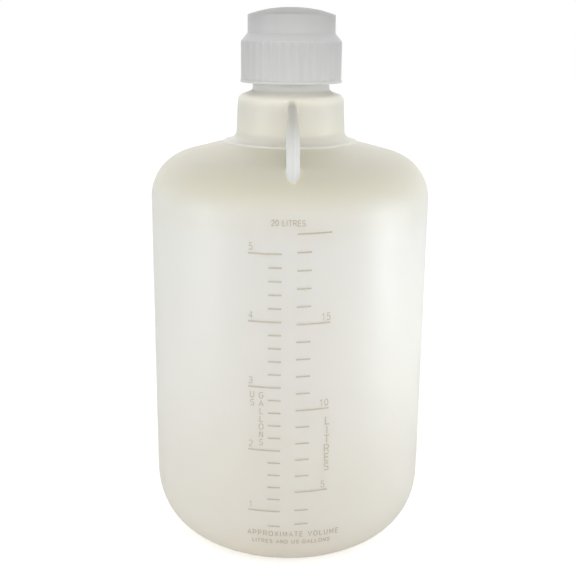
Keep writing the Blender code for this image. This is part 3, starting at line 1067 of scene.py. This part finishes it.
def make_screw_cap(material):
    """The cap's shell with its ribs, and the thread inside its skirt."""
    columns = RIB_COUNT * RIB_COLUMNS
    angles = even_angles(columns)

    def build(bm):
        rows = []
        for radius, height, rib in cap_outline():
            if radius < 1e-6:
                rows.append([bm.verts.new((0.0, 0.0, height))])
                continue
            points = []
            for column, angle in enumerate(angles):
                points.append((angle, radius - RIB_DEPTH * rib * rib_groove(column), height))
            rows.append(ring(bm, points))
        join_all(bm, rows)

    cap = new_mesh_object("cap_shell", build, material)
    sections = thread_sections(SKIRT_BORE, CAP_THREAD_CREST, CAP_THREAD_START_Z, CAP_THREAD_TURNS)
    fuse(cap, [new_mesh_object("cap_thread", swept(sections), material)])
    finish_piece(cap, "screw_cap", "cap_polypropylene", "screw_cap")


def make_seal_ring(material):
    """The flat ring with soft edges that seals on the neck's rim."""
    middle_z = (seal_low.z + seal_high.z) / 2.0
    outline = rounded(
        [
            (SEAL_INNER, middle_z),
            (SEAL_INNER, seal_low.z),
            (SEAL_OUTER, seal_low.z),
            (SEAL_OUTER, seal_high.z),
            (SEAL_INNER, seal_high.z),
            (SEAL_INNER, middle_z + 0.0001),
        ],
        0.0005,
    )

    def build(bm):
        rows = []
        for radius, height in outline:
            rows.append(ring(bm, [(angle, radius, height) for angle in even_angles(192)]))
        join_all(bm, rows + [rows[0]])

    seal = new_mesh_object("foam_seal", build, material)
    finish_piece(seal, "seal_ring", "seal_foam", "seal_ring")


# ---------------------------------------------------------------- stage, light and camera

def make_floor():
    """A wide pale floor that looks as white as a light table but only lights the bottle softly."""
    material, tree, shader = new_material("pale_floor")
    grain = remap(tree, object_noise(tree, 4.0), 0.3, 0.7, 0.0, 1.0)
    colour = mix_colour(tree, grain, (0.86, 0.86, 0.86), (0.88, 0.88, 0.88))
    tree.links.new(colour, shader.inputs["Base Color"])
    shader.inputs["Roughness"].default_value = 0.9
    shader.inputs["Specular IOR Level"].default_value = 0.1
    shader.inputs["Emission Color"].default_value = (1.0, 1.0, 1.0, 1.0)
    path = tree.nodes.new("ShaderNodeLightPath")
    glow = remap(tree, path.outputs["Is Camera Ray"], 0.0, 1.0, 0.0, FLOOR_GLOW)
    tree.links.new(glow, shader.inputs["Emission Strength"])
    mesh = bpy.data.meshes.new("floor")
    far = FLOOR_REACH
    mesh.from_pydata(
        [(-far, -far, 0.0), (far, -far, 0.0), (far, far, 0.0), (-far, far, 0.0)],
        [],
        [(0, 1, 2, 3)],
    )
    mesh.materials.append(material)
    floor = bpy.data.objects.new("floor", mesh)
    bpy.context.scene.collection.objects.link(floor)


def add_softbox(name, azimuth, distance, height, width, length, watts):
    """A rectangular softbox aimed at the bottle's middle; azimuth 0 is the front, 90 the right."""
    light = bpy.data.lights.new(name, "AREA")
    light.shape = "RECTANGLE"
    light.size = width
    light.size_y = length
    light.energy = watts
    light.spread = math.radians(SOFTBOX_SPREAD)
    light.color = SOFTBOX_COLOUR
    obj = bpy.data.objects.new(name, light)
    turn = math.radians(azimuth)
    obj.location = (distance * math.sin(turn), -distance * math.cos(turn), height)
    aim = Vector((0.0, 0.0, SOFTBOX_AIM_Z)) - obj.location
    obj.rotation_euler = aim.to_track_quat("-Z", "Y").to_euler()
    bpy.context.scene.collection.objects.link(obj)


def make_world():
    """A white light tent: a soft swell of light towards each side; the camera sees it white."""
    world = bpy.data.worlds.new("light_tent")
    world.use_nodes = True
    tree = world.node_tree
    background = tree.nodes["Background"]
    direction = position(tree, "Generated")
    swells = [remap(tree, direction[axis], 0.0, end, 0.0, level) for axis, end, level in TENT]
    total = swells[0]
    for swell in swells[1:]:
        total = arithmetic(tree, "ADD", total, swell)
    path = tree.nodes.new("ShaderNodeLightPath")
    seen = tree.nodes.new("ShaderNodeMix")
    tree.links.new(path.outputs["Is Camera Ray"], seen.inputs[0])
    tree.links.new(total, seen.inputs[2])
    seen.inputs[3].default_value = 1.0
    tree.links.new(seen.outputs[0], background.inputs["Strength"])
    background.inputs["Color"].default_value = (1.0, 1.0, 1.0, 1.0)
    bpy.context.scene.world = world


def make_camera():
    """Close in at the height of the cap, looking down at the middle of the bottle."""
    camera = bpy.data.cameras.new("camera")
    camera.sensor_width = CAMERA_SENSOR
    camera.lens = CAMERA_LENS
    obj = bpy.data.objects.new("camera", camera)
    turn = math.radians(CAMERA_AZIMUTH)
    pitch = math.radians(CAMERA_PITCH)
    obj.location = (
        CAMERA_DISTANCE * math.sin(turn) + CAMERA_ASIDE,
        -CAMERA_DISTANCE * math.cos(turn),
        CAMERA_HEIGHT,
    )
    level = math.cos(pitch)
    look = Vector((-math.sin(turn) * level, math.cos(turn) * level, -math.sin(pitch)))
    obj.rotation_euler = look.to_track_quat("-Z", "Y").to_euler()
    obj.rotation_euler.rotate_axis("Z", math.radians(CAMERA_ROLL))
    bpy.context.scene.collection.objects.link(obj)
    bpy.context.scene.camera = obj


def main():
    """Build the pieces and the stage."""
    make_bottle(polyethylene_material())
    make_scales(ink_material())
    make_screw_cap(polypropylene_material())
    make_seal_ring(seal_material())
    make_floor()
    make_world()
    for softbox in SOFTBOXES:
        add_softbox(*softbox)
    make_camera()
    bpy.context.scene.view_settings.view_transform = "Standard"


main()
